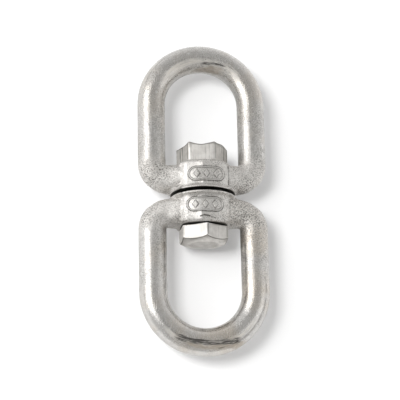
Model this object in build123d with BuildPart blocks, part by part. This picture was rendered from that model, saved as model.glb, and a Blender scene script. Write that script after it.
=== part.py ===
from build123d import *
from math import cos, pi, radians, sqrt, tan
import os

# Eye-and-eye anchor swivel for 8 mm chain, in millimetres.
# Two cast eyes turn face to face on one hexagon bolt, whose end is riveted over in its nut.
# The swivel axis is Y and the joint between the eyes lies on the XZ plane. Both eyes lie flat
# in the XY plane: the nut eye points to +Y and the head eye to -Y.

# Eye: a loop of round section
rod_dia = 8.0             # section of the bow and the legs
window_width = 21.3       # clear width between the legs
window_length = 29.5      # clear length from the arms to the inside of the bow
bend_radius = 4.7         # centreline radius where a leg turns into an arm

# Boss: the cushion-shaped middle of the eye, which the bolt runs through
swivel_gap = 0.9          # joint face to joint face
flange_dia = 19.0         # round flange at the joint face
flange_lip = 0.6          # height of the flange's edge
flange_round = 0.3        # rounding at the joint face
flare_height = 1.7        # height of the flare from the flange up to the boss
flare_hollow = 0.45       # how far the flare is hollowed
side_step = 1.9           # the boss is this much narrower than the flange on each side
face_step = 1.4           # and this much on its front and back
face_crown = 2.2          # bulge of its front and back
side_crown = 0.9          # bulge of its sides
boss_corner = 3.6         # radius between them
seat_step = 0.25          # from the arms up to the seat of the nut or the head
seat_round = 1.1          # rounded edge round the seat

# Arms: round at the legs, swelling in depth through the bends and into the boss
shoulder_step = 0.55      # joint face to the arms
shoulder_turn = 45.0      # degrees, how far round the bend the swelling begins
shoulder_depth = 6.5      # half depth at the end of the swelling
shoulder_reach = 2.6      # how far inside the boss's side the swelling ends
shoulder_cuts = 7         # sections from bend to boss

# Bolt and nut
bolt_dia = 8.0
hex_sides = 6
running_clearance = 0.08  # between shank and eye bores, on the radius
thread_clearance = 0.03   # between shank and nut, on the radius
hex_width = 13.0          # across flats, head and nut alike
head_height = 4.9
head_play = 0.25          # end play left under the head
head_face_dia = 11.0      # flat circle on the end of the head
head_chamfer = 34.0       # degrees, slope of the cone that trims its corners
head_turn = -1.5          # degrees, from an edge facing up
nut_height = 5.85
nut_turn = 7.0            # degrees, from a flat facing up
dish_rim = 0.25           # flat left at the nut's corners, outside its dished end
dish_angle = 36.0         # degrees, slope of the dish
rivet_lip = 1.5           # the riveted end spreads this much past the shank
rivet_edge = 0.3          # thickness of its rim
rivet_crown = 0.8         # rise of its hammered top above the rim

rod_radius = rod_dia / 2
leg_offset = window_width / 2 + rod_radius
arm_end = leg_offset - bend_radius
joint_face = swivel_gap / 2
arm_height = joint_face + shoulder_step + rod_radius
bend_top = arm_height + bend_radius
seat_height = arm_height + rod_radius + seat_step
bow_height = arm_height + rod_radius + window_length - window_width / 2
flange_radius = flange_dia / 2
flange_top = joint_face + flange_lip
flare_top = flange_top + flare_height
boss_half_width = flange_radius - side_step
boss_half_depth = flange_radius - face_step
arm_root = boss_half_width - shoulder_reach
bolt_radius = bolt_dia / 2
hex_corner = hex_width / sqrt(3)
head_seat = seat_height + head_play
head_end = head_seat + head_height
nut_end = seat_height + nut_height
dish_radius = hex_corner - dish_rim
rivet_radius = bolt_radius + rivet_lip


def dish_level(radius):
    # Height of the nut's dished end at this distance from the swivel axis
    return nut_end - (dish_radius - radius) * tan(radians(dish_angle))


def eye_casting():
    # One cast eye, with its loop towards +Y and its joint face just above the joint
    with BuildPart() as eye:
        # Boss, with the rounded edge round its seat
        corner_x = boss_half_width - side_crown
        corner_z = boss_half_depth - face_crown
        with BuildSketch(Plane.XZ.offset(-flange_top)) as outline:
            with BuildLine():
                front = ThreePointArc((-corner_x, corner_z), (0, boss_half_depth), (corner_x, corner_z))
                side = ThreePointArc((corner_x, corner_z), (boss_half_width, 0), (corner_x, -corner_z))
                mirror(front, about=Plane.XZ)
                mirror(side, about=Plane.YZ)
            make_face()
            fillet(outline.vertices(), radius=boss_corner)
        extrude(amount=flange_top - seat_height)
        fillet(eye.edges().group_by(Axis.Y)[-1], radius=seat_round)

        # Round flange at the joint, hollowed up into the boss
        with BuildSketch(Plane.XY):
            with BuildLine():
                foot = Line((0, joint_face), (flange_radius - flange_round, joint_face))
                rim = RadiusArc(foot @ 1, (flange_radius, joint_face + flange_round), -flange_round)
                edge = Line(rim @ 1, (flange_radius, flange_top))
                flare = SagittaArc(edge @ 1, (boss_half_width, flare_top), flare_hollow)
                Polyline(flare @ 1, (0, flare_top), foot @ 0)
            make_face()
        revolve(axis=Axis.Y)

        # Rest of one bend, leg and half bow
        swell_start = shoulder_turn - 90
        with BuildLine():
            bend = CenterArc((arm_end, bend_top), bend_radius, swell_start, -swell_start)
            Line(bend @ 1, (leg_offset, bow_height))
            CenterArc((0, bow_height), leg_offset, 0, 90)
        with BuildSketch(Plane(origin=bend @ 0, z_dir=bend % 0)):
            Circle(rod_radius)
        sweep()

        # One arm, as sections that deepen along it, then the other side of the eye by mirroring
        with BuildLine(mode=Mode.PRIVATE) as arm:
            turn = CenterArc((arm_end, bend_top), bend_radius, swell_start, -shoulder_turn)
            Line(turn @ 1, (arm_root, arm_height))
        for cut in range(shoulder_cuts):
            share = cut / (shoulder_cuts - 1)
            swelling = (1 - cos(pi * share)) / 2
            half_depth = rod_radius + (shoulder_depth - rod_radius) * swelling
            with BuildSketch(Plane(origin=arm.wire() @ share, x_dir=(0, 0, 1), z_dir=arm.wire() % share)):
                Ellipse(half_depth, rod_radius)
        loft()
        mirror(about=Plane.YZ)

        # Bore for the bolt
        with BuildSketch(Plane.XZ):
            Circle(bolt_radius + running_clearance)
        extrude(amount=-nut_end, mode=Mode.SUBTRACT)
    return eye.part


# The two eyes are the same casting, turned end for end
with BuildPart() as nut_eye:
    add(eye_casting())
nut_eye.part.label = "nut_eye"

with BuildPart() as head_eye:
    add(eye_casting(), rotation=(0, 0, 180))
head_eye.part.label = "head_eye"

# Bolt: hexagon head trimmed by a cone, then the shank and its riveted end
with BuildPart() as bolt:
    with BuildSketch(Plane.XZ.offset(head_seat)):
        RegularPolygon(hex_width / 2, hex_sides, major_radius=False, rotation=180 / hex_sides + head_turn)
    extrude(amount=head_height)
    with BuildSketch(Plane.XY):
        face_radius = head_face_dia / 2
        corner_drop = (hex_corner - face_radius) * tan(radians(head_chamfer))
        with BuildLine():
            Polyline(
                (0, -head_seat),
                (hex_corner, -head_seat),
                (hex_corner, corner_drop - head_end),
                (face_radius, -head_end),
                (0, -head_end),
                close=True,
            )
        make_face()
    revolve(axis=Axis.Y, mode=Mode.INTERSECT)
    with BuildSketch(Plane.XY):
        rim_top = dish_level(rivet_radius) + rivet_edge
        crown_radius = (rivet_radius**2 + rivet_crown**2) / (2 * rivet_crown)
        with BuildLine():
            shank = Polyline(
                (0, rim_top + rivet_crown),
                (0, -head_seat),
                (bolt_radius, -head_seat),
                (bolt_radius, dish_level(bolt_radius)),
                (rivet_radius, dish_level(rivet_radius)),
                (rivet_radius, rim_top),
            )
            RadiusArc(shank @ 1, shank @ 0, -crown_radius)
        make_face()
    revolve(axis=Axis.Y)
bolt.part.label = "bolt"

# Nut: plain hexagon with a dished end, which the bolt is riveted into
with BuildPart() as nut:
    with BuildSketch(Plane.XZ.offset(-seat_height)):
        RegularPolygon(hex_width / 2, hex_sides, major_radius=False, rotation=nut_turn)
        Circle(bolt_radius + thread_clearance, mode=Mode.SUBTRACT)
    extrude(amount=-nut_height)
    with BuildSketch(Plane.XY):
        with BuildLine():
            Polyline(
                (0, dish_level(0)),
                (dish_radius, nut_end),
                (0, nut_end),
                close=True,
            )
        make_face()
    revolve(axis=Axis.Y, mode=Mode.SUBTRACT)
nut.part.label = "nut"

os.makedirs("parts", exist_ok=True)
export_step(nut_eye.part, "parts/nut_eye.step")
export_step(head_eye.part, "parts/head_eye.step")
export_step(bolt.part, "parts/bolt.step")
export_step(nut.part, "parts/nut.step")
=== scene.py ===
import bmesh
import bpy
import math
import numpy as np
from mathutils import Matrix, Vector, noise


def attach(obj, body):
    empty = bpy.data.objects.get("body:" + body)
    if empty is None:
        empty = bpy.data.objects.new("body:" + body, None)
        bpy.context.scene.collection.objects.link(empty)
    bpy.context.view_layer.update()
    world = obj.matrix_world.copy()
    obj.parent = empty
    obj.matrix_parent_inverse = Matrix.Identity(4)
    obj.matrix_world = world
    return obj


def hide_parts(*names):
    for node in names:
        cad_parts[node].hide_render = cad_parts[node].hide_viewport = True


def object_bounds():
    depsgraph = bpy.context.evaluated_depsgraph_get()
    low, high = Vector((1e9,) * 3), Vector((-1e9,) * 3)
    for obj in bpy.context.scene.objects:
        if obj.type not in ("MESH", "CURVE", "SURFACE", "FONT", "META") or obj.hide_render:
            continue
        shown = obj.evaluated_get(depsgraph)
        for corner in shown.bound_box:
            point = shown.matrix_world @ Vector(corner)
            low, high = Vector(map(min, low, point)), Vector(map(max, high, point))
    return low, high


# Eye-and-eye anchor swivel: two cast stainless eyes on one hexagon bolt, riveted into its nut.
# Lengths in the settings are millimetres, and mm turns them into metres.

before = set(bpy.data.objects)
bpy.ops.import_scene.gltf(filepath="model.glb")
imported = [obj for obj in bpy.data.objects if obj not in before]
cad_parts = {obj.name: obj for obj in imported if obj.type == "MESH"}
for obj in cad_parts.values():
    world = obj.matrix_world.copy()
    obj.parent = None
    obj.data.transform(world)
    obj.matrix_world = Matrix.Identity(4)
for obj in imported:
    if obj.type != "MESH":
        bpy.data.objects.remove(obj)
cadLow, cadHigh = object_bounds()
mm = 0.001
print("frame loaded:", ", ".join(sorted(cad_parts)))


# Camera and lights

cameraView = {
    "distance": 419.3,
    "lens": 130.8,
    "film": 36.0,
    "lean": 16.5,  # degrees from straight above, towards the head eye
    "roll": 6.93,  # degrees, right legs lower
    "turn": 1.2,  # degrees, nut eye towards the left
    "shift": (-0.0067, -0.0071),
    "clipFrom": 10.0,
}

# Zenith is degrees down from straight above, heading degrees from +X to +Y, and glow the brightness of the
# box's face, whatever its size. A box that isn't mirrored lights the floor alone.
softBoxes = {
    "keyBox": {
        "zenith": 49, "heading": 167, "distance": 700, "size": (594, 470), "glow": 2.4, "mirrored": True,
    },
    "fillBox": {
        "zenith": 54, "heading": -13, "distance": 700, "size": (500, 400), "glow": 0.54, "mirrored": True,
    },
    "floorWash": {
        "zenith": 24, "heading": 180, "distance": 700, "size": (210, 210), "glow": 23.0, "mirrored": False,
    },
}


def addObject(name, data):
    made = bpy.data.objects.new(name, data)
    bpy.context.scene.collection.objects.link(made)
    return made


def placeCamera(view):
    lens = bpy.data.cameras.new("benchCamera")
    lens.lens = view["lens"]
    lens.sensor_width = view["film"]
    lens.shift_x, lens.shift_y = view["shift"]
    lens.clip_start = view["clipFrom"] * mm
    camera = addObject("benchCamera", lens)
    turn, roll, lean = (math.radians(view[angle]) for angle in ("turn", "roll", "lean"))
    lying = Matrix.Rotation(turn, 3, "Z") @ Matrix.Rotation(roll, 3, "Y")
    aim = lying.transposed() @ Matrix.Rotation(lean, 3, "X")
    camera.matrix_world = Matrix.Translation(aim.col[2] * view["distance"] * mm) @ aim.to_4x4()
    bpy.context.scene.camera = camera


def placeBox(name, box):
    lamp = bpy.data.lights.new(name, "AREA")
    lamp.shape = "RECTANGLE"
    lamp.size, lamp.size_y = (side * mm for side in box["size"])
    lamp.energy = box["glow"] * math.pi * lamp.size * lamp.size_y
    card = addObject(name, lamp)
    card.visible_glossy = box["mirrored"]
    tilt, swing = math.radians(box["zenith"]), math.radians(box["heading"])
    away = Vector((math.sin(tilt) * math.cos(swing), math.sin(tilt) * math.sin(swing), math.cos(tilt)))
    card.location = away * box["distance"] * mm
    card.rotation_mode = "QUATERNION"
    card.rotation_quaternion = (-away).to_track_quat("-Z", "Y")


placeCamera(cameraView)
bpy.context.scene.view_settings.view_transform = "Standard"
for boxName, box in softBoxes.items():
    placeBox(boxName, box)
print("camera and lights placed")


# Small helpers for node trees

def addNode(tree, kind, **settings):
    made = tree.nodes.new(kind)
    for key, value in settings.items():
        setattr(made, key, value)
    return made


def feed(tree, socket, value):
    # Links an output to a socket, or sets a plain value on it
    if isinstance(value, bpy.types.NodeSocket):
        tree.links.new(value, socket)
    else:
        socket.default_value = value


def addFed(tree, kind, values, **settings):
    # A node with its first inputs fed in turn
    made = addNode(tree, kind, **settings)
    for socket, value in zip(made.inputs, values):
        feed(tree, socket, value)
    return made.outputs


def calc(tree, operation, first, second=0.0, third=0.0):
    return addFed(tree, "ShaderNodeMath", (first, second, third), operation=operation)[0]


def times(tree, first, second):
    return calc(tree, "MULTIPLY", first, second)


def plus(tree, value, mask, amount):
    # The value plus the mask times the amount
    return calc(tree, "MULTIPLY_ADD", mask, amount, value)


def layered(tree, value, marks, amounts):
    # The value plus each named mark times its amount
    for name, amount in amounts.items():
        value = plus(tree, value, marks[name], amount)
    return value


def remap(tree, value, fromLow, fromHigh, toLow=0.0, toHigh=1.0):
    values = (value, fromLow, fromHigh, toLow, toHigh)
    return addFed(tree, "ShaderNodeMapRange", values, interpolation_type="SMOOTHSTEP")[0]


def fadeOver(tree, distance, span, toLow=0.0, toHigh=1.0):
    # The same over a span in millimetres
    return remap(tree, distance, span[0] * mm, span[1] * mm, toLow, toHigh)


def mixColour(tree, factor, first, second):
    # Sockets 6 and 7 of this node are its colours, and output 2 the mixed one
    made = addNode(tree, "ShaderNodeMix", data_type="RGBA")
    feed(tree, made.inputs[0], factor)
    for socket, value in zip((made.inputs[6], made.inputs[7]), (first, second)):
        feed(tree, socket, value if isinstance(value, bpy.types.NodeSocket) else (*value, 1.0))
    return made.outputs[2]


def stain(tree, colour, mask, amount, towards):
    return mixColour(tree, times(tree, mask, amount), colour, towards)


def noiseAt(tree, coordinates, scale, detail=3.0, rough=0.55):
    made = addNode(tree, "ShaderNodeTexNoise")
    feed(tree, made.inputs["Vector"], coordinates)
    feed(tree, made.inputs["Scale"], scale)
    made.inputs["Detail"].default_value = detail
    made.inputs["Roughness"].default_value = rough
    return made.outputs["Fac"]


def stretch(tree, coordinates, factors):
    return addFed(tree, "ShaderNodeVectorMath", (coordinates, factors), operation="MULTIPLY")[0]


def splitAxes(tree, vector):
    return addFed(tree, "ShaderNodeSeparateXYZ", [vector])


def newGroup(name, **inputs):
    # Named inputs and their values, where a tuple is a vector's
    group = bpy.data.node_groups.new(name, "ShaderNodeTree")
    for label, value in inputs.items():
        kind = "NodeSocketVector" if isinstance(value, tuple) else "NodeSocketFloat"
        socket = group.interface.new_socket(name=label, in_out="INPUT", socket_type=kind)
        socket.default_value = value
    return group, addNode(group, "NodeGroupInput").outputs


def closeGroup(group, **results):
    # Feeds each named output
    for label in results:
        group.interface.new_socket(name=label, in_out="OUTPUT", socket_type="NodeSocketFloat")
    end = addNode(group, "NodeGroupOutput").inputs
    for label, value in results.items():
        feed(group, end[label], value)
    return group


def placeGroup(tree, group, **values):
    made = addNode(tree, "ShaderNodeGroup", node_tree=group)
    for label, value in values.items():
        feed(tree, made.inputs[label], value)
    return made.outputs


def newSteel(name):
    material = bpy.data.materials.new(name)
    material.use_nodes = True
    shader = material.node_tree.nodes["Principled BSDF"]
    shader.inputs["Metallic"].default_value = 1.0
    return material, material.node_tree, shader


def finishSteel(tree, shader, finish, colour, dirt, marks, height):
    # Lays the dirt, and the painted shade laid on with it, over the colour, then roughens and raises the
    # surface by its marks
    feed(tree, shader.inputs["Base Color"], mixColour(tree, dirt, colour, finish["dirt"]))
    rough = layered(tree, finish["roughness"], marks, finish["roughens"])
    feed(tree, shader.inputs["Roughness"], rough)
    bump = addNode(tree, "ShaderNodeBump")
    bump.inputs["Distance"].default_value = finish["relief"] * mm
    feed(tree, bump.inputs["Height"], layered(tree, height, marks, finish["raises"]))
    feed(tree, shader.inputs["Normal"], bump.outputs[0])


# Effects that the castings and the hexagons share. Pairs give where a mask begins and where it is full

grainForm = {
    "pitFineness": 0.55,  # against the fine grain
    "pitEdge": (0.12, 0.34),
    "pitPatches": (0.48, 0.62),
    "coarseShare": 0.6,
    "fineShare": 0.4,
    "pitDepth": 0.5,
    "mottle": (0.35, 0.65),
    "sandFineness": 1.25,  # against the fine grain
    "sand": (0.5, 0.58),
    "sandPatchFineness": 0.2,  # against the coarse grain
    "sandPatches": (0.4, 0.6),
    "sandLeast": 0.45,
    "flecks": (0.52, 0.64),
}

wearForm = {
    "ragged": 0.05,
    "start": 0.35,  # share of the reach where wear begins
}

scratchForm = {
    "lines": (0.52, 0.64),
    "spreadScale": 260.0,
    "spread": (0.38, 0.56),
}


def buildGrain(form):
    # Fine tumbled grain, slow mottling, small pits, and dark sand with bright flecks
    group, start = newGroup("tumbledGrain", Place=(0.0, 0.0, 0.0), Fine=2600.0, Coarse=500.0, Pitting=0.5)
    place = start["Place"]
    fine = noiseAt(group, place, start["Fine"], 4.0, 0.6)
    coarse = noiseAt(group, place, start["Coarse"])
    cells = addNode(group, "ShaderNodeTexVoronoi", feature="F1")
    feed(group, cells.inputs["Vector"], place)
    feed(group, cells.inputs["Scale"], times(group, start["Fine"], form["pitFineness"]))
    holes = remap(group, cells.outputs["Distance"], *form["pitEdge"], 1.0, 0.0)
    patches = remap(group, noiseAt(group, place, start["Coarse"], 2.0), *form["pitPatches"])
    pits = times(group, times(group, holes, patches), start["Pitting"])
    body = plus(group, times(group, fine, form["fineShare"]), coarse, form["coarseShare"])
    sandScale = times(group, start["Fine"], form["sandFineness"])
    sand = remap(group, noiseAt(group, place, sandScale, 2.0, 0.6), *form["sand"])
    patchScale = times(group, start["Coarse"], form["sandPatchFineness"])
    patchy = remap(group, noiseAt(group, place, patchScale, 2.0), *form["sandPatches"], form["sandLeast"])
    return closeGroup(
        group,
        Height=plus(group, body, pits, -form["pitDepth"]),
        Mottle=remap(group, coarse, *form["mottle"]),
        Pits=pits,
        Sand=times(group, sand, patchy),
        Flecks=remap(group, fine, *form["flecks"]),
    )


def buildWear(form):
    # Edges rubbed bright and hollows that hold dirt
    group, start = newGroup("edgeWear", Place=(0.0, 0.0, 0.0), Reach=0.06, Breakup=900.0)
    bend = addNode(group, "ShaderNodeNewGeometry").outputs["Pointiness"]
    broken = noiseAt(group, start["Place"], start["Breakup"])
    ragged = plus(group, -form["ragged"] / 2, broken, form["ragged"])
    bent = calc(group, "ADD", calc(group, "SUBTRACT", bend, 0.5), ragged)
    begin = times(group, start["Reach"], form["start"])
    edges = remap(group, bent, begin, start["Reach"])
    hollows = remap(group, times(group, bent, -1.0), begin, start["Reach"])
    return closeGroup(group, Edges=edges, Hollows=hollows)


def buildScratches(form):
    # Short hairline scratches, lying along the axis that Stretch squeezes most
    group, start = newGroup(
        "hairScratches", Place=(0.0, 0.0, 0.0), Stretch=(1.0, 0.08, 1.0), Scale=3200.0, Amount=0.5,
    )
    lined = noiseAt(group, stretch(group, start["Place"], start["Stretch"]), start["Scale"], 2.0)
    spread = noiseAt(group, start["Place"], form["spreadScale"], 2.0)
    marks = times(group, remap(group, lined, *form["lines"]), remap(group, spread, *form["spread"]))
    return closeGroup(group, Marks=times(group, marks, start["Amount"]))


grain = buildGrain(grainForm)
wear = buildWear(wearForm)
scratches = buildScratches(scratchForm)
print("shared finishes built")


# Cast stainless, for the two eyes

castFinish = {
    "bright": (0.71, 0.695, 0.672),
    "dull": (0.63, 0.613, 0.592),
    "tint": (0.66, 0.598, 0.52),  # straw colour left by heat
    "worn": (0.8, 0.79, 0.77),
    "asCast": (0.79, 0.765, 0.735),
    "speck": (0.25, 0.24, 0.22),
    "fleck": (0.92, 0.91, 0.89),
    # Dirt colour; on the eyes it also paints the shade in the joint and round the seat
    "dirt": (0.075, 0.07, 0.06),
    "grain": {"Fine": 2400.0, "Coarse": 620.0},
    "edges": {"Reach": 0.05, "Breakup": 1400.0},
    "hairs": {"Stretch": (1.0, 0.1, 1.0), "Scale": 2600.0, "Amount": 0.6},
    # Distances from the joint or the swivel axis over which a zone fades in or out
    "asCastTo": (7.875, 12.6),  # from the joint, past which the loop is tumbled smoother
    "bow": (22.0, 30.0),  # and past this rubbed smoother still
    "boss": (6.21, 7.935),  # from the axis, nearer than which the boss is polished too
    "jointFace": (0.475, 0.575),  # painted shade: nearer the joint than this, in the gap between the eyes, the face is darkened
    "seat": (9.17, 9.23),  # painted shade round the seat of the nut or the head begins
    "seatEnd": (9.7, 9.9),
    # Colour
    "heatScale": 95.0,
    "heatPatches": (0.42, 0.68),
    "castAmount": 0.8,
    "loopGrain": 0.65,
    "grains": {"arms": 0.25, "bow": -0.4},  # more on the arms and less on the bows
    "pitting": 0.8,
    "fleckAmount": 0.8,
    "wornAmount": 0.6,
    "hollowAmount": 0.6,
    "pitAmount": 0.45,
    "flank": (0.1, 0.6),  # how far a side faces up or down
    "flankPaintedShade": 0.19,  # painted shade: the sides of the loop, where they face sideways, are darkened this much
    "castFlankShade": -0.8,  # but less so near the joint
    "roughness": 0.33,
    # What each mark adds to it. The arms, which stay as cast, get both of the first two
    "roughens": {
        "asCast": 0.14,
        "arms": 0.15,
        "bow": -0.06,
        "mottle": -0.05,
        "hairs": 0.12,
        "rubbed": 0.2,
        "hollows": 0.2,
    },
    # Heights of the grain and the marks, as shares of the relief
    "relief": 0.09,
    "loopHeight": 0.6,
    "armHeight": 1.1,
    "raises": {"sand": -0.4, "hairs": -0.25, "rubbed": -0.7},
}

# What all rubs share: how ragged and how broken up they are
rubForm = {
    "ragged": 2.2,
    "breakScale": 1.7,
    "breaks": (0.4, 0.52),
    "leastLeft": 0.3,
    "above": (0.0, 1.0),  # only the front of the bow is rubbed
}


def alongArc(tree, axes, centre, radius):
    # Place along an arc in the plane of the eye, from its crest, and across it
    sideways = calc(tree, "SUBTRACT", axes[0], centre[0] * mm)
    onwards = calc(tree, "SUBTRACT", axes[1], centre[1] * mm)
    squared = plus(tree, times(tree, onwards, onwards), sideways, sideways)
    angle = calc(tree, "ARCTAN2", sideways, calc(tree, "ABSOLUTE", onwards))
    across = calc(tree, "SUBTRACT", calc(tree, "SQRT", squared), radius * mm)
    return times(tree, angle, radius * mm), across


def rubMask(tree, axes, rub, form):
    # Ragged streaks along the bow: rubs left by another fitting, and a painted highlight
    along, across = alongArc(tree, axes, rub["centre"], rub["radius"])
    drawnOut = (times(tree, along, rub["stretch"]), across, axes[2])
    streaks = addFed(tree, "ShaderNodeCombineXYZ", drawnOut)[0]
    streaky = noiseAt(tree, streaks, rub["scale"], 4.0, 0.7)
    ragged = plus(tree, -form["ragged"] / 2, streaky, form["ragged"])
    off = plus(tree, ragged, across, 1.0 / (rub["halfWidth"] * mm))
    band = remap(tree, calc(tree, "ABSOLUTE", off), rub["soft"], 1.0, 1.0, 0.0)
    breaks = noiseAt(tree, streaks, rub["scale"] * form["breakScale"], 3.0, 0.7)
    band = times(tree, band, remap(tree, breaks, *form["breaks"], form["leastLeft"], 1.0))
    low, high = rub["span"]
    begun = fadeOver(tree, along, (low, low + rub["fade"]))
    ended = fadeOver(tree, along, (high - rub["fade"], high), 1.0, 0.0)
    band = times(tree, band, fadeOver(tree, axes[2], form["above"]))
    return times(tree, band, times(tree, begun, ended))


def castStainless(name, finish, eye):
    material, tree, shader = newSteel(name)
    place = addNode(tree, "ShaderNodeTexCoord").outputs["Object"]
    axes = splitAxes(tree, place)
    fromJoint = calc(tree, "ABSOLUTE", axes[1])
    asCast = fadeOver(tree, fromJoint, finish["asCastTo"], 1.0, 0.0)
    onBow = fadeOver(tree, fromJoint, finish["bow"])
    offBoss = fadeOver(tree, calc(tree, "ABSOLUTE", axes[0]), finish["boss"])
    sandy = times(tree, asCast, offBoss)
    pitting = times(tree, sandy, finish["pitting"])
    skin = placeGroup(tree, grain, Place=place, Pitting=pitting, **finish["grain"])
    worn = placeGroup(tree, wear, Place=place, **finish["edges"])
    hairs = placeGroup(tree, scratches, Place=place, **finish["hairs"])["Marks"]

    colour = mixColour(tree, skin["Mottle"], finish["dull"], finish["bright"])
    # Painted shade: each eye is darkened all over by its own amount, the nut eye's standing in for the
    # duller reflection it catches
    colour = mixColour(tree, eye["eyeShade"], colour, finish["speck"])
    heat = noiseAt(tree, place, finish["heatScale"], 2.0)
    heat = remap(tree, heat, *finish["heatPatches"], 0.0, eye["heat"])
    colour = mixColour(tree, heat, colour, finish["tint"])
    colour = stain(tree, colour, asCast, finish["castAmount"], finish["asCast"])
    marks = {"asCast": asCast, "arms": sandy, "bow": onBow, "mottle": skin["Mottle"]}
    grainy = layered(tree, finish["loopGrain"], marks, finish["grains"])
    sand = times(tree, skin["Sand"], grainy)
    flecks = times(tree, grainy, finish["fleckAmount"])
    colour = stain(tree, colour, skin["Flecks"], flecks, finish["fleck"])
    colour = mixColour(tree, sand, colour, finish["speck"])
    colour = stain(tree, colour, worn["Edges"], finish["wornAmount"], finish["worn"])
    colour = stain(tree, colour, worn["Hollows"], finish["hollowAmount"], finish["speck"])
    colour = stain(tree, colour, skin["Pits"], finish["pitAmount"], finish["speck"])

    # Painted shade: sides of the loop that face sideways, neither up nor down, are darkened towards the
    # speck colour, less so near the joint
    facing = splitAxes(tree, addNode(tree, "ShaderNodeTexCoord").outputs["Normal"])[2]
    flank = remap(tree, calc(tree, "ABSOLUTE", facing), *finish["flank"], finish["flankPaintedShade"], 0.0)
    colour = stain(tree, colour, flank, plus(tree, 1.0, asCast, finish["castFlankShade"]), finish["speck"])
    rubbed = 0.0
    for rub in eye["rubs"]:
        mask = rubMask(tree, axes, rub, rubForm)
        colour = stain(tree, colour, mask, rub["amount"], rub["colour"])
        rubbed = calc(tree, "MAXIMUM", rubbed, mask)

    # Painted shade round the seat, where the nut and the head meet the boss, stronger under the head
    seatEnd = fadeOver(tree, fromJoint, finish["seatEnd"], 1.0, 0.0)
    atSeat = times(tree, fadeOver(tree, fromJoint, finish["seat"]), seatEnd)
    atSeat = times(tree, atSeat, calc(tree, "SUBTRACT", 1.0, offBoss))
    atSeat = times(tree, atSeat, eye["seatShade"])
    # Painted shade in the gap between the eyes, laid on with the dirt colour
    jointShade = fadeOver(tree, fromJoint, finish["jointFace"], 1.0, 0.0)
    # The dirt below mixes real dirt from the soil attribute with the painted shade of the joint and the seat
    soil = addNode(tree, "ShaderNodeAttribute", attribute_name="soil").outputs["Fac"]
    dirt = calc(tree, "MAXIMUM", calc(tree, "MAXIMUM", soil, jointShade), atSeat)
    marks.update({"sand": sand, "hairs": hairs, "rubbed": rubbed, "hollows": worn["Hollows"]})
    share = plus(tree, finish["loopHeight"], sandy, finish["armHeight"])
    finishSteel(tree, shader, finish, colour, dirt, marks, times(tree, skin["Height"], share))
    return material


# Turned and milled stainless, for the bolt and the nut

hexFinish = {
    "bright": (0.77, 0.748, 0.715),
    "dull": (0.65, 0.628, 0.595),
    "worn": (0.85, 0.84, 0.82),
    "dirt": (0.16, 0.15, 0.135),
    "drawn": 0.75,  # how much more the drawn flats blur crosswise than lengthwise
    "grain": {"Fine": 3000.0, "Coarse": 420.0, "Pitting": 0.25},
    "edges": {"Reach": 0.05, "Breakup": 1800.0},
    "streaks": {"Stretch": (1.0, 0.05, 1.0), "Scale": 1900.0},
    "cleanAt": 1.0,  # the flats round here, left of the axis, are streaked less
    "cleanTo": (3.8, 4.6),
    "cleanShare": 0.3,
    "streakAmount": 0.7,
    "latheScale": 4200.0,  # rings left by the lathe on the end
    "turned": (0.0, 0.1),
    "ringAmount": 0.25,
    "ringDulling": 0.12,
    "wornAmount": 0.7,
    "hollowAmount": 0.75,
    "roughness": 0.44,
    "roughens": {"mottle": -0.06, "streaks": 0.15, "rings": 0.12, "hollows": 0.3},
    "relief": 0.03,
    "raises": {"streaks": -0.6, "rings": 0.8},
}


def hexStainless(name, finish, streaks, endFrom, endTowards):
    # streaks is how strongly the side flats are streaked. endFrom is the level on the swivel axis past which
    # the turned end begins, on the side that endTowards gives
    material, tree, shader = newSteel(name)
    shader.inputs["Anisotropic"].default_value = finish["drawn"]
    around = addNode(tree, "ShaderNodeTangent", direction_type="RADIAL", axis="Y")
    feed(tree, shader.inputs["Tangent"], around.outputs[0])
    place = addNode(tree, "ShaderNodeTexCoord").outputs["Object"]
    axes = splitAxes(tree, place)
    skin = placeGroup(tree, grain, Place=place, **finish["grain"])
    worn = placeGroup(tree, wear, Place=place, **finish["edges"])
    aside = calc(tree, "ABSOLUTE", calc(tree, "ADD", axes[0], finish["cleanAt"] * mm))
    offFront = fadeOver(tree, aside, finish["cleanTo"], finish["cleanShare"] * streaks, streaks)
    drawn = placeGroup(tree, scratches, Place=place, Amount=offFront, **finish["streaks"])["Marks"]

    flat = stretch(tree, place, (1.0, 0.0, 1.0))
    fromAxis = addFed(tree, "ShaderNodeVectorMath", [flat], operation="LENGTH")["Value"]
    lathe = addNode(tree, "ShaderNodeTexNoise", noise_dimensions="1D")
    feed(tree, lathe.inputs["W"], fromAxis)
    lathe.inputs["Scale"].default_value = finish["latheScale"]
    lathe.inputs["Detail"].default_value = 2.0
    past = times(tree, calc(tree, "SUBTRACT", axes[1], endFrom * mm), endTowards)
    onEnd = fadeOver(tree, past, finish["turned"])
    rings = times(tree, lathe.outputs["Fac"], onEnd)

    colour = mixColour(tree, skin["Mottle"], finish["dull"], finish["bright"])
    colour = stain(tree, colour, drawn, finish["streakAmount"], finish["dirt"])
    ringed = plus(tree, finish["ringDulling"], lathe.outputs["Fac"], finish["ringAmount"])
    colour = mixColour(tree, ringed, colour, mixColour(tree, onEnd, colour, finish["dirt"]))
    colour = stain(tree, colour, worn["Edges"], finish["wornAmount"], finish["worn"])
    colour = stain(tree, colour, worn["Hollows"], finish["hollowAmount"], finish["dirt"])
    # The soil attribute holds the painted shade lines along the corners and edges
    soil = addNode(tree, "ShaderNodeAttribute", attribute_name="soil").outputs["Fac"]
    marks = {"mottle": skin["Mottle"], "streaks": drawn, "rings": rings, "hollows": worn["Hollows"]}
    finishSteel(tree, shader, finish, colour, soil, marks, skin["Height"])
    return material


# Cast eyes: the CAD solid's own skin, rounded off as a casting is, with its relief

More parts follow.
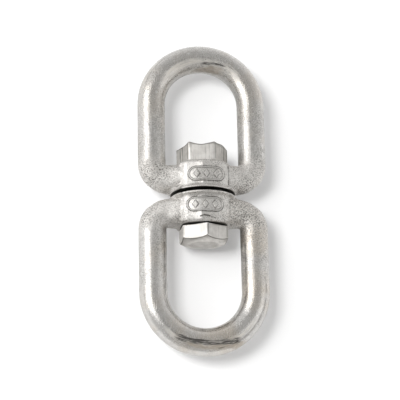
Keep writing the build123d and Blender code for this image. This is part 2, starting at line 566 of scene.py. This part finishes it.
castingSkin = {
    "weld": 0.0005,
    "voxel": 0.26,  # grid of the skin
    "evenOut": 3,  # rounds of smoothing over the whole casting
    "growBack": -0.52,  # after each, so that round stock keeps its size
    # Where the arms run into the boss: rounds, and where the smoothing rises and falls
    "blendRounds": 4,
    "blendAcross": ((4.8, 6.0), (8.0, 10.5)),
    "blendUp": ((1.0, 2.2), (9.0, 10.2)),
    # Lip of the flange
    "lipRounds": 8,
    "lipUp": ((0.6, 1.0), (1.6, 2.4)),
    "lipBeyond": 7.0,  # distance from the swivel axis
    # Flatter front and back of the arms
    "armMiddle": 5.0,  # distance of the arms' middle from the joint
    "armHalf": 4.0,  # and their half height
    "armAcross": ((6.4, 7.4), (9.4, 12.4)),
    "armEdge": (0.9, 1.15),  # of the half height
    "armSquareness": 2.9,  # power of the arms' section, where 2 is an ellipse
    "armShare": 0.92,  # of the arms' depth that the flatter front keeps
    "armLimit": 0.93,  # of the half height, past which the change grows no more
    # Dirt inside the loop
    "grime": 0.3,
    "grimeFrom": 9.5,  # this far from the joint
    "grimeFacing": (0.8, 1.0),  # how squarely a side faces the window
    "grimePatches": 1.3,
    "grimeRagged": 0.1,
    "grimeShares": (0.7, 0.6),  # steady and patchy
    "bowLevel": 27.85,  # centre of the bow
    "waver": 0.035,  # unevenness left by the mould
    "waverSize": 5.5,
}

panelRelief = {
    "halfLength": 5.0,  # to the middle of the rim
    "halfHeight": 1.9,
    "rimWidth": 0.26,
    "rimHeight": 0.24,
    "rimCrest": 0.35,  # share of its width that is level
    "sink": 0.1,  # panel inside the rim, below the boss
    "studPitch": 2.8,
    "studSize": (0.9, 1.3),
    "studHeight": 0.36,
    "studEdge": (0.72, 1.0),
    # Dirt at the foot of the rim and the studs
    "footDirt": 0.95,
    "outsideDirt": 1.0,
    "insideDirt": 0.4,
    "studDirt": 0.7,
    "studFoot": 1.02,
    "rimDirtFade": (0.05, 0.24),
    "studDirtFade": (0.05, 0.22),
    "dirtPatches": 2.0,
    "dirtShares": (0.75, 0.7),  # steady and patchy
    # Front of the boss: how high, how far aside and how squarely facing up, and up the boss
    "frontAbove": (4.0, 5.5),
    "frontAside": (7.6, 6.6),
    "frontFacing": (0.3, 0.6),
    "bossUp": ((1.3, 2.2), (8.6, 9.4)),
    "ridge": 0.12,  # parting ridge down the middle of the boss
    "ridgeWidth": 1.6,
    "flatSides": (-5.3, 6.2),  # the front is ground flatter from the ridge out to here
    "flatDepth": 0.24,
    # Finer skin under it
    "fineCuts": 2,
    "fineAround": 1.0,
    "fineAbove": 4.5,
    "fineTo": 10.5,
}

# How the sides of a nick and of a parting line rise, and how their dirt ends
grooveForm = {
    "nickSides": (0.3, 1.8),  # of the nick's width
    "nickDirt": (0.8, 1.5),
    "nickAbove": 3.0,  # nicks are on the front alone
    "lineSides": (0.05, 0.3),
    "lineDirt": (0.08, 0.28),
    "linePatches": 0.35,
    "lineBreaks": (-0.35, 0.1),
    "far": 100.0,  # out of reach
}

darkRub = {
    "colour": (0.09, 0.085, 0.08), "amount": 0.92,
    "soft": 0.6, "scale": 2000.0, "stretch": 0.09, "fade": 2.0,
}
# Part wear, part painted highlight: a near-white band, polished where the shackle bears, that carries the
# highlight on along the bow
brightRubAndHighlight = {
    "colour": (0.93, 0.885, 0.82), "amount": 0.85,
    "soft": -0.2, "scale": 1300.0, "stretch": 0.12, "fade": 6.0,
}
strawRub = {
    "colour": (0.48, 0.41, 0.33), "amount": 0.75,
    "soft": 0.4, "scale": 2000.0, "stretch": 0.12, "fade": 3.0,
}

nutEyeCasting = {
    "node": "nut_eye",
    # painted shade: the nut eye is darkened all over, standing in for the duller reflection its legs catch
    "eyeShade": 0.14,
    "heat": 0.4,
    "seatShade": 0.3,
    "panelCentre": (0.3, 4.8),
    "ridgeAt": -0.8,
    "nicks": [  # ends of a groove on the front, its radius, depth and dirt
        ((-1.4, 1.3), (-0.4, 1.25), 0.15, 0.2, 0.7),
        # Down the boss's right side, where it steps down to the arm: a groove whose dirt is painted shade in
        # that crease
        ((6.95, 2.2), (6.85, 7.6), 0.16, 0.14, 0.55),
    ],
    "partingLines": [
        {"centre": (0.0, 27.85), "radius": 17.4, "span": (95.0, 160.0), "depth": 0.04, "dirt": 0.22},
    ],
    "rubs": [
        {**brightRubAndHighlight, "centre": (0.0, 27.85), "radius": 12.9, "halfWidth": 1.7, "span": (-17.0, 15.0)},
        {**strawRub, "centre": (1.7, 26.2), "radius": 12.5, "halfWidth": 1.0, "span": (-5.0, 6.0)},
        {**darkRub, "centre": (1.7, 26.2), "radius": 13.9, "halfWidth": 0.35, "span": (-2.5, 6.5)},
    ],
}

headEyeCasting = {
    "node": "head_eye",
    "eyeShade": 0.0,
    "heat": 0.8,
    "seatShade": 0.9,
    "panelCentre": (-0.25, -4.25),
    "ridgeAt": -1.4,
    "nicks": [
        ((-1.7, -7.9), (-0.6, -7.5), 0.16, 0.2, 0.5),
        ((-0.6, -7.5), (0.9, -7.75), 0.18, 0.25, 0.6),
        ((0.9, -7.75), (2.6, -8.3), 0.14, 0.15, 0.3),
        # Down the boss's right side, where it steps down to the arm: a groove whose dirt is painted shade in
        # that crease
        ((7.0, -2.6), (7.0, -7.6), 0.16, 0.1, 0.15),
    ],
    "partingLines": [
        {"centre": (0.0, -27.85), "radius": 17.2, "span": (-80.0, 12.0), "depth": 0.06, "dirt": 0.4},
        {
            "centre": (0.0, -27.85), "radius": 11.5, "span": (-180.0, 0.0), "depth": 0.05, "dirt": 0.5,
            "legsFrom": 14.0,  # runs on along both legs, back to this level
        },
    ],
    "rubs": [
        {**brightRubAndHighlight, "centre": (0.0, -27.85), "radius": 16.2, "halfWidth": 1.0, "span": (-16.0, 18.0)},
        {**strawRub, "centre": (1.7, -16.0), "radius": 28.4, "halfWidth": 0.8, "span": (-9.0, 11.0)},
        {**darkRub, "centre": (1.7, -16.0), "radius": 27.25, "halfWidth": 0.8, "span": (-11.5, 8.5)},
    ],
}


def evenSkin(node, form):
    # Rebuilds a CAD solid's surface on an even grid
    source = addObject("skinSource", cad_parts[node].data.copy())
    source.modifiers.new("weld", "WELD").merge_threshold = form["weld"] * mm
    skin = source.modifiers.new("skin", "REMESH")
    skin.mode = "VOXEL"
    skin.voxel_size = form["voxel"] * mm
    bpy.context.view_layer.update()
    made = bpy.data.meshes.new_from_object(source.evaluated_get(bpy.context.evaluated_depsgraph_get()))
    bpy.data.objects.remove(source)
    return made


def readRows(mesh, what):
    found = np.zeros(len(mesh.vertices) * 3)
    mesh.vertices.foreach_get(what, found)
    return found.reshape(-1, 3)


def readPoints(mesh):
    # In millimetres
    return readRows(mesh, "co") / mm


def writePoints(mesh, points):
    mesh.vertices.foreach_set("co", (points * mm).ravel())
    mesh.update()


def readEdges(mesh):
    return np.array([tuple(edge.vertices) for edge in mesh.edges])


def relax(points, edges, weight, rounds, growBack):
    # Moves each point towards the middle of its neighbours, then back by growBack
    first, second = edges.T
    total = len(points)
    count = np.bincount(first, minlength=total) + np.bincount(second, minlength=total)
    for step in [0.5, growBack] * rounds:
        middle = np.stack([
            np.bincount(first, points[second, axis], total) + np.bincount(second, points[first, axis], total)
            for axis in range(3)
        ], axis=1) / count[:, None]
        points = points + step * weight[:, None] * (middle - points)
    return points


def ramp(values, low, high):
    share = np.clip((values - low) / (high - low), 0.0, 1.0)
    return share * share * (3.0 - 2.0 * share)


def between(values, rise, fall):
    return ramp(values, *rise) * (1.0 - ramp(values, *fall))


def noiseField(points, scale):
    return np.array([noise.noise(Vector(point) * scale) for point in points])


def refine(mesh, inside, cuts):
    # Cuts the edges finer where both ends are inside
    work = bmesh.new()
    work.from_mesh(mesh)
    work.verts.ensure_lookup_table()
    chosen = [edge for edge in work.edges if inside[edge.verts[0].index] and inside[edge.verts[1].index]]
    bmesh.ops.subdivide_edges(work, edges=chosen, cuts=cuts, use_grid_fill=True, smooth=0.0)
    work.to_mesh(mesh)
    work.free()


def squareArms(points, skin):
    # Turns the arms' elliptical section into one with a flatter front and back
    across, level = np.abs(points[:, :2]).T
    off = np.abs(level - skin["armMiddle"]) / skin["armHalf"]
    held = np.clip(off, 0.0, skin["armLimit"])
    power = skin["armSquareness"]
    change = skin["armShare"] * (1.0 - held ** power) ** (1.0 / power) / np.sqrt(1.0 - held ** 2)
    share = between(across, *skin["armAcross"]) * (1.0 - ramp(off, *skin["armEdge"]))
    still = np.ones(len(points))
    return points * np.stack([still, still, 1.0 + share * (change - 1.0)], axis=1)


def roundOff(mesh, skin):
    # Softens the whole skin, then where the arms run into the boss, then the lip of the flange
    edges = readEdges(mesh)
    everywhere = np.ones(len(mesh.vertices))
    points = relax(readPoints(mesh), edges, everywhere, skin["evenOut"], skin["growBack"])
    across, level = np.abs(points[:, :2]).T
    blend = between(across, *skin["blendAcross"]) * between(level, *skin["blendUp"])
    points = relax(squareArms(points, skin), edges, blend, skin["blendRounds"], 0.0)
    lip = between(np.abs(points[:, 1]), *skin["lipUp"])
    lip *= np.hypot(points[:, 0], points[:, 2]) > skin["lipBeyond"]
    points = relax(points, edges, lip, skin["lipRounds"], 0.0)
    writePoints(mesh, points)
    return points


def panelForm(x, y, relief):
    # Height of the stadium-shaped rim with its lozenge studs, the dirt at their feet, and how far a point is
    # beyond the rim, at millimetres from the panel's centre
    width = relief["rimWidth"]
    straight = relief["halfLength"] - relief["halfHeight"]
    outline = np.hypot(np.maximum(np.abs(x) - straight, 0.0), y) - relief["halfHeight"]
    rim = relief["rimHeight"] * (1.0 - ramp(np.abs(outline), width * relief["rimCrest"], width))
    floor = -relief["sink"] * (1.0 - ramp(outline, -width, 0.0))
    near = x - relief["studPitch"] * np.clip(np.round(x / relief["studPitch"]), -1, 1)
    lozenge = np.abs(near) / relief["studSize"][0] + np.abs(y) / relief["studSize"][1]
    studs = relief["studHeight"] * (1.0 - ramp(lozenge, *relief["studEdge"]))
    dirt = np.maximum.reduce([
        relief["outsideDirt"] * (1.0 - ramp(np.abs(outline - width), *relief["rimDirtFade"])),
        relief["insideDirt"] * (1.0 - ramp(np.abs(outline + width), *relief["rimDirtFade"])),
        relief["studDirt"] * (1.0 - ramp(np.abs(lozenge - relief["studFoot"]), *relief["studDirtFade"])),
    ])
    return rim + floor + studs, dirt, ramp(outline, -width, width)


def bossRelief(points, normals, eye, relief):
    # Height and dirt of the panel, the parting ridge and the flats beside it
    x, y, z = points.T
    front = ramp(z, *relief["frontAbove"]) * ramp(np.abs(x), *relief["frontAside"])
    front *= ramp(normals[:, 2], *relief["frontFacing"])
    raised, soil, beyond = panelForm(x - eye["panelCentre"][0], y - eye["panelCentre"][1], relief)
    raised, soil = raised * front, soil * front
    dirty = soil > 0.01
    steady, patchy = relief["dirtShares"]
    uneven = steady + patchy * noiseField(points[dirty], relief["dirtPatches"])
    soil[dirty] *= relief["footDirt"] * uneven
    onBoss = front * beyond * between(np.abs(y), *relief["bossUp"])
    aside = x - eye["ridgeAt"]
    ridge = 1.0 - np.abs(np.clip(aside / relief["ridgeWidth"], -1.0, 1.0))
    left, right = relief["flatSides"]
    share = np.clip(aside / (np.where(aside < 0.0, left, right) - eye["ridgeAt"]), 0.0, 1.0)
    ground = 4.0 * relief["flatDepth"] * share * (1.0 - share)
    return raised + (relief["ridge"] * ridge - ground) * onBoss, soil


def nickReach(points, first, second, form):
    # Distance across the eye's front from each point to the line between two ends; the back is far away
    points = points * (1.0, 1.0, 0.0) + (points[:, 2:] < form["nickAbove"]) * form["far"]
    first, second = np.array([*first, 0.0]), np.array([*second, 0.0])
    run = second - first
    share = np.clip((points - first) @ run / (run @ run), 0.0, 1.0)
    return np.linalg.norm(points - first - share[:, None] * run, axis=1)


def lineReach(points, line, form):
    # The same to an arc round the middle of the bow, and to the two straight lines that some arcs lead into
    sideways = points[:, 0] - line["centre"][0]
    onwards = points[:, 1] - line["centre"][1]
    turned = np.degrees(np.arctan2(onwards, sideways))
    onArc = (turned > line["span"][0]) & (turned < line["span"][1])
    apart = np.where(onArc, np.abs(np.hypot(sideways, onwards) - line["radius"]), form["far"])
    if "legsFrom" in line:
        level = np.abs(points[:, 1])
        onLegs = (level > line["legsFrom"]) & (level < abs(line["centre"][1]))
        apart = np.where(onLegs, np.abs(np.abs(sideways) - line["radius"]), apart)
    return np.where(points[:, 2] > 0.0, apart, form["far"])


def cutGrooves(points, eye, form):
    # Depth and dirt of the nicks and the parting lines
    depth, soil = np.zeros(len(points)), np.zeros(len(points))
    for first, second, width, nickDepth, dirt in eye["nicks"]:
        apart = nickReach(points, first, second, form) / width
        depth += nickDepth * (1.0 - ramp(apart, *form["nickSides"]))
        soil = np.maximum(soil, dirt * (1.0 - ramp(apart, *form["nickDirt"])))
    broken = ramp(noiseField(points, form["linePatches"]), *form["lineBreaks"])
    for line in eye["partingLines"]:
        apart = lineReach(points, line, form)
        depth += line["depth"] * (1.0 - ramp(apart, *form["lineSides"]))
        soil = np.maximum(soil, line["dirt"] * (1.0 - ramp(apart, *form["lineDirt"])) * broken)
    return depth, soil


def windowGrime(points, normals, skin):
    # Dirt on the sides of the loop that look into its window
    level = np.abs(points[:, 1])
    outward = points * (1.0, 1.0, 0.0)
    outward[:, 1] -= np.sign(points[:, 1]) * np.minimum(level, skin["bowLevel"])
    outward /= np.maximum(np.linalg.norm(outward, axis=1), 1.0)[:, None]
    facing = -(outward * normals).sum(axis=1) * (level > skin["grimeFrom"])
    patches = noiseField(points, skin["grimePatches"])
    steady, patchy = skin["grimeShares"]
    reached = ramp(facing + skin["grimeRagged"] * patches, *skin["grimeFacing"])
    return skin["grime"] * reached * (steady + patchy * patches)


def smoothPiece(name, mesh, soil):
    # A piece that carries its dirt, and on the bolt and nut its painted shade lines
    mesh.attributes.new("soil", "FLOAT", "POINT").data.foreach_set("value", soil)
    mesh.shade_smooth()
    return addObject(name, mesh)


def castEye(name, body, eye, skin, relief):
    mesh = evenSkin(eye["node"], skin)
    x, y, z = roundOff(mesh, skin).T
    aside = np.abs(x - eye["panelCentre"][0])
    under = (aside < relief["halfLength"] + relief["fineAround"]) & (z > relief["fineAbove"])
    refine(mesh, under & (np.abs(y) < relief["fineTo"]), relief["fineCuts"])
    points = relax(readPoints(mesh), readEdges(mesh), np.ones(len(mesh.vertices)), 1, skin["growBack"])
    writePoints(mesh, points)
    normals = readRows(mesh, "normal")

    raised, panelSoil = bossRelief(points, normals, eye, relief)
    cut, grooveSoil = cutGrooves(points, eye, grooveForm)
    waver = skin["waver"] * noiseField(points, 1.0 / skin["waverSize"])
    writePoints(mesh, points + normals * (raised - cut + waver)[:, None])
    soil = np.maximum.reduce([panelSoil, grooveSoil, windowGrime(points, normals, skin)])
    piece = smoothPiece(name, mesh, soil)
    mesh.materials.clear()
    mesh.materials.append(castStainless(name + "Steel", castFinish, eye))
    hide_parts(eye["node"])
    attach(piece, body)
    print("cast", name, "faces", len(mesh.polygons))


castEye("nutEyeCasting", "nut_eye", nutEyeCasting, castingSkin, panelRelief)
castEye("headEyeCasting", "head_eye", headEyeCasting, castingSkin, panelRelief)


# Bolt and nut: rings round the swivel axis, six-sided where they are hexagons

hexForm = {
    "cornerFrom": 0.995,  # share of the greatest radius past which a CAD point is a corner's
    "stepsPerSide": 26,
    "cornerCrowding": 0.8,  # how closely the steps crowd at the corners
    "edge": ((0.0, 0.3), (0.02, 0.17), (0.07, 0.07), (0.17, 0.015), (0.34, 0.0)),  # inset and drop
    "lineWidth": 1.5,  # degrees, half width of the painted shade lines at the corners
    "unevenPace": 1.7,  # how quickly a ring's unevenness changes
}

boltForm = {
    "node": "bolt",
    "cornerSharpness": 95.0,
    "shankRadius": 4.0,
    "washerFace": 1.0,  # flat round the shank, under the head
    "footDrop": 0.6,  # of the edge's drop, at the foot of the head
    "flatLevels": (0.12, 0.3, 0.6, 0.9),
    "endEdge": 0.4,  # of the edge's inset and drop, at the end of the head
    "endDrop": 1.35,  # the end of the head falls away this much to its corners
    "endBend": 4.6,  # how late it falls
    "endShares": (0.93, 0.86, 0.78, 0.68, 0.55, 0.35, 0.1),
    "endEdgeShade": 0.95,  # painted shade along the edge of the end
    "endShadeSteps": ((0.1, 1.0), (0.26, 1.0), (0.36, 0.0)),
    "endShadeShares": (0.8, 0.5),  # steady and uneven
    "cornerShadeLines": ((57.5, 0.75), (2.2, 0.6), (117.8, 0.6)),  # degrees from the first corner, and painted shade
    "rivetRadius": 5.5,
    "rivetUneven": 0.35,
    "rivetRim": 0.3,
    "rivetNeck": 1.2,
    "rivetSink": 0.1,
    "rivetCrown": 0.8,
    "rivetShares": (0.12, 0.3, 0.5, 0.68, 0.84, 0.95),
    "hammering": 0.14,
    "streaks": 0.35,
    "turnedFrom": 0.15,  # from the end of the head
}

nutForm = {
    "node": "nut",
    "cornerSharpness": 38.0,
    "boreRadius": 4.03,
    "washerFace": 1.2,
    "flatLevels": (0.1, 0.25, 0.45, 0.6),
    "dishRadius": 7.25,
    "dishSlope": 36.0,
    "dishFrom": 0.5,  # inside the rim
    "dishShares": (0.2, 0.45, 0.7, 1.0),
    "dishUneven": 0.05,
    "offCentre": (-0.4, 0.35),  # the end was faced off-centre
    "wear": (  # degrees from the first corner, and how far it is knocked down
        (0, 1.05), (30, -0.3), (60, 0.3), (90, 0.2), (120, -0.05), (150, -0.1),
        (180, 0.6), (240, 0.4), (300, 0.5),
    ),
    "wearWidth": 14.0,  # degrees
    "wearFrom": (4.5, 7.0),
    # Painted shade: a dark line along the rim of the end, and a ring below it that carries the corner lines
    "rimShade": 0.65,
    "rimShadeInset": 0.1,
    "rimShadeDepth": 0.45,
    # painted shade lines beside two corners
    "cornerShadeLines": ((57.0, 0.6), (124.5, 0.6)),
    "streaks": 1.35,
    "turnedFrom": -1.2,  # from the end of the nut
}


def stepAngles(shape, heading):
    # Angles round the axis, crowded towards the six corners
    share = np.arange(shape["stepsPerSide"]) / shape["stepsPerSide"]
    share = share - shape["cornerCrowding"] * np.sin(2 * np.pi * share) / (2 * np.pi)
    return np.radians(heading + np.concatenate([60.0 * (side + share) for side in range(6)]))


def hexRadius(angles, heading, corner, sharpness):
    # Hexagon with softened corners
    flats = np.radians(heading + 30.0 + 60.0 * np.arange(6))
    reach = np.maximum(np.cos(angles[:, None] - flats[None, :]), 0.0)
    return corner * math.cos(math.pi / 6) / (reach ** sharpness).sum(axis=1) ** (1.0 / sharpness)


def uneven(angles, size, seed):
    # Slow unevenness round a ring, the same on each run
    pace = hexForm["unevenPace"]
    return size * np.array([
        noise.noise(Vector((pace * math.cos(angle), pace * math.sin(angle), seed))) for angle in angles
    ])


def degreesFrom(angles, heading, place):
    return (np.degrees(angles) - heading - place + 180.0) % 360.0 - 180.0


def cornerShade(form, angles, heading):
    # Fine lines of painted shade beside the corners
    return sum(
        dirt * np.exp(-((degreesFrom(angles, heading, place) / hexForm["lineWidth"]) ** 2))
        for place, dirt in form["cornerShadeLines"]
    )


def measureHex(form, shape):
    # Corner radius, levels of the ends and of the highest corner, and a corner's heading, from the CAD node.
    # Then the angles, radii and corner shade lines of a ring round it
    x, y, z = readPoints(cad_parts[form["node"]].data).T
    spread = np.hypot(x, z)
    corner = spread.max()
    corners = spread > corner * shape["cornerFrom"]
    heading = float(np.median(np.degrees(np.arctan2(z[corners], x[corners])) % 60.0))
    angles = stepAngles(shape, heading)
    outer = hexRadius(angles, heading, corner, form["cornerSharpness"])
    levels = (y.min(), y.max(), y[corners].max())
    return corner, levels, heading, angles, outer, cornerShade(form, angles, heading)


def peenedLevel(form, end, radius, angles, heading):
    # Level of the nut's dished end, with its corners knocked down
    x = radius * np.cos(angles) - form["offCentre"][0]
    z = radius * np.sin(angles) - form["offCentre"][1]
    inside = np.maximum(form["dishRadius"] - np.hypot(x, z), 0.0)
    level = end - inside * math.tan(math.radians(form["dishSlope"]))
    for place, wornDown in form["wear"]:
        near = np.exp(-((degreesFrom(angles, heading, place) / form["wearWidth"]) ** 2))
        level = level - wornDown * near * ramp(radius, *form["wearFrom"])
    return level


def ringPiece(name, angles, rings, closed):
    # Skins the rings in turn: radius, level and any painted shade. Closed joins the last ring to the first;
    # otherwise both ends are capped
    count = len(angles)
    points, soil = [], []
    for radius, level, *dirt in rings:
        radius = np.broadcast_to(radius, count)
        level = np.broadcast_to(level, count)
        points.append(np.stack([radius * np.cos(angles), level, radius * np.sin(angles)], axis=1))
        soil += [*np.broadcast_to(dirt[0] if dirt else 0.0, count)]
    points = np.concatenate(points)
    faces = []
    for ring in range(len(rings) if closed else len(rings) - 1):
        here, there = ring * count, (ring + 1) % len(rings) * count
        for step in range(count):
            after = (step + 1) % count
            faces.append((here + step, here + after, there + after, there + step))
    if not closed:
        poles = [[0.0, np.mean(rings[0][1]), 0.0], [0.0, np.mean(rings[-1][1]), 0.0]]
        pole, last = len(points), (len(rings) - 1) * count
        points = np.concatenate([points, poles])
        soil += [0.0, 0.0]
        faces += [(pole, (step + 1) % count, step) for step in range(count)]
        faces += [(pole + 1, last + step, last + (step + 1) % count) for step in range(count)]
    mesh = bpy.data.meshes.new(name)
    mesh.from_pydata((points * mm).tolist(), [], faces)
    work = bmesh.new()
    work.from_mesh(mesh)
    bmesh.ops.recalc_face_normals(work, faces=work.faces)
    work.to_mesh(mesh)
    work.free()
    return smoothPiece(name, mesh, soil)


def finishHex(piece, node, material):
    piece.data.materials.append(material)
    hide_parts(node)
    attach(piece, "bolt_and_nut")
    print("turned", piece.name, "faces", len(piece.data.polygons))


def makeNut(form, shape):
    _, (seat, end, _), heading, angles, outer, lines = measureHex(form, shape)
    rim = peenedLevel(form, end, outer, angles, heading)
    rings = [(form["boreRadius"], seat), (form["boreRadius"] + form["washerFace"], seat)]
    rings += [(outer - inset, seat + drop) for inset, drop in reversed(shape["edge"])]
    rings += [(outer, seat + share * (end - seat), lines) for share in form["flatLevels"]]
    # Painted shade along the rim of the end
    rings.append((outer, rim - form["rimShadeDepth"], lines))
    for inset, drop in shape["edge"]:
        rings.append((outer - inset, rim - drop, form["rimShade"] * (inset < form["rimShadeInset"])))
    for share in form["dishShares"]:
        radius = (outer - form["dishFrom"]) * (1.0 - share) + form["boreRadius"] * share
        level = peenedLevel(form, end, radius, angles, heading)
        rings.append((radius, level + uneven(angles, form["dishUneven"], share)))
    piece = ringPiece("hexNut", angles, rings, True)
    steel = hexStainless("nutSteel", hexFinish, form["streaks"], end + form["turnedFrom"], 1.0)
    finishHex(piece, form["node"], steel)


def makeBolt(form, shape):
    corner, (end, top, seat), _, angles, outer, lines = measureHex(form, shape)

    def endLevel(radius):
        return end + form["endDrop"] * (radius / corner) ** form["endBend"]

    # Hammered rivet, shank, and the seat of the head
    rivet = form["rivetRadius"] + uneven(angles, form["rivetUneven"], 4.0)
    crownFoot = top - form["rivetCrown"]
    rings = []
    for share in form["rivetShares"]:
        dents = uneven(angles, form["hammering"], 9.0 + share) - form["rivetSink"]
        rings.append((rivet * share, crownFoot + form["rivetCrown"] * (1.0 - share ** 2) + dents))
    rings += [(rivet, crownFoot - drop - form["rivetSink"]) for drop in (0.0, form["rivetRim"])]
    shank = form["shankRadius"]
    rings += [(shank, crownFoot - form["rivetRim"] - form["rivetNeck"]), (shank, seat)]
    rings.append((shank + form["washerFace"], seat))
    # Flats of the head, its domed end and the painted shade along the end's edge
    rings += [(outer - inset, seat - drop * form["footDrop"]) for inset, drop in reversed(shape["edge"])]
    edge = endLevel(outer)
    rings += [(outer, seat + share * (edge - seat), lines) for share in form["flatLevels"]]
    for inset, drop in shape["edge"][:4]:
        rings.append((outer - inset * form["endEdge"], edge + drop * form["endEdge"]))
    steady, wavering = form["endShadeShares"]
    endEdgeShade = form["endEdgeShade"] * (steady + uneven(angles, wavering, 6.0))
    for inset, share in form["endShadeSteps"]:
        rings.append((outer - inset, endLevel(outer - inset), share * endEdgeShade))
    rings += [(outer * share, endLevel(outer * share)) for share in form["endShares"]]
    piece = ringPiece("hexBolt", angles, rings, False)
    steel = hexStainless("boltSteel", hexFinish, form["streaks"], end + form["turnedFrom"], -1.0)
    finishHex(piece, form["node"], steel)


makeNut(nutForm, hexForm)
makeBolt(boltForm, hexForm)


# Floor and surroundings

floorLook = {
    "size": 3000.0,
    "colour": (0.76, 0.76, 0.76),
    "grainColour": (0.74, 0.74, 0.745),
    "grainScale": 1500.0,
    "roughness": 0.95,
    "gloss": 0.1,
    "bloom": 0.14,  # added where the camera looks straight at it, as an over-lit table has
}

studioLook = {
    "overhead": (0.5, 0.5, 0.495),
    "overheadBlend": (0.1, 0.9),  # from the walls to overhead, by height
    "backWall": (0.82, 0.82, 0.82),  # past the nut eye
    "frontWall": (0.57, 0.57, 0.565),  # past the head eye
    "wallBlend": (-0.9, 0.2),
    "darkPatch": (0.28, 0.28, 0.275),  # the unlit ceiling behind the camera
    "patchAt": (-0.12, -0.28, 0.95),
    "patchEdge": (27.0, 9.0),  # degrees from its middle, outside and inside
}


def makeFloor(look):
    half = look["size"] * mm / 2
    mesh = bpy.data.meshes.new("paperFloor")
    corners = [(-half, -half, 0), (half, -half, 0), (half, half, 0), (-half, half, 0)]
    mesh.from_pydata(corners, [], [(0, 1, 2, 3)])
    floor = addObject("paperFloor", mesh)
    floor.location.z = cadLow.z
    material = bpy.data.materials.new("paper")
    material.use_nodes = True
    tree = material.node_tree
    shader = tree.nodes["Principled BSDF"]
    shader.inputs["Roughness"].default_value = look["roughness"]
    shader.inputs["Specular IOR Level"].default_value = look["gloss"]
    fibres = noiseAt(tree, addNode(tree, "ShaderNodeTexCoord").outputs["Object"], look["grainScale"])
    feed(tree, shader.inputs["Base Color"], mixColour(tree, fibres, look["colour"], look["grainColour"]))
    seen = addNode(tree, "ShaderNodeLightPath").outputs["Is Camera Ray"]
    shader.inputs["Emission Color"].default_value = (1.0, 1.0, 1.0, 1.0)
    feed(tree, shader.inputs["Emission Strength"], times(tree, seen, look["bloom"]))
    mesh.materials.append(material)


def makeSurroundings(look):
    world = bpy.data.worlds.new("studio")
    bpy.context.scene.world = world
    world.use_nodes = True
    tree = world.node_tree
    towards = addNode(tree, "ShaderNodeTexCoord").outputs["Generated"]
    axes = splitAxes(tree, towards)
    walls = mixColour(tree, remap(tree, axes[1], *look["wallBlend"]), look["frontWall"], look["backWall"])
    room = mixColour(tree, remap(tree, axes[2], *look["overheadBlend"]), walls, look["overhead"])
    sides = (towards, look["patchAt"])
    nearPatch = addFed(tree, "ShaderNodeVectorMath", sides, operation="DOT_PRODUCT")["Value"]
    outside, inside = (math.cos(math.radians(angle)) for angle in look["patchEdge"])
    patch = remap(tree, nearPatch, outside, inside)
    feed(tree, tree.nodes["Background"].inputs["Color"], mixColour(tree, patch, room, look["darkPatch"]))


makeFloor(floorLook)
makeSurroundings(studioLook)
print("floor and surroundings made")
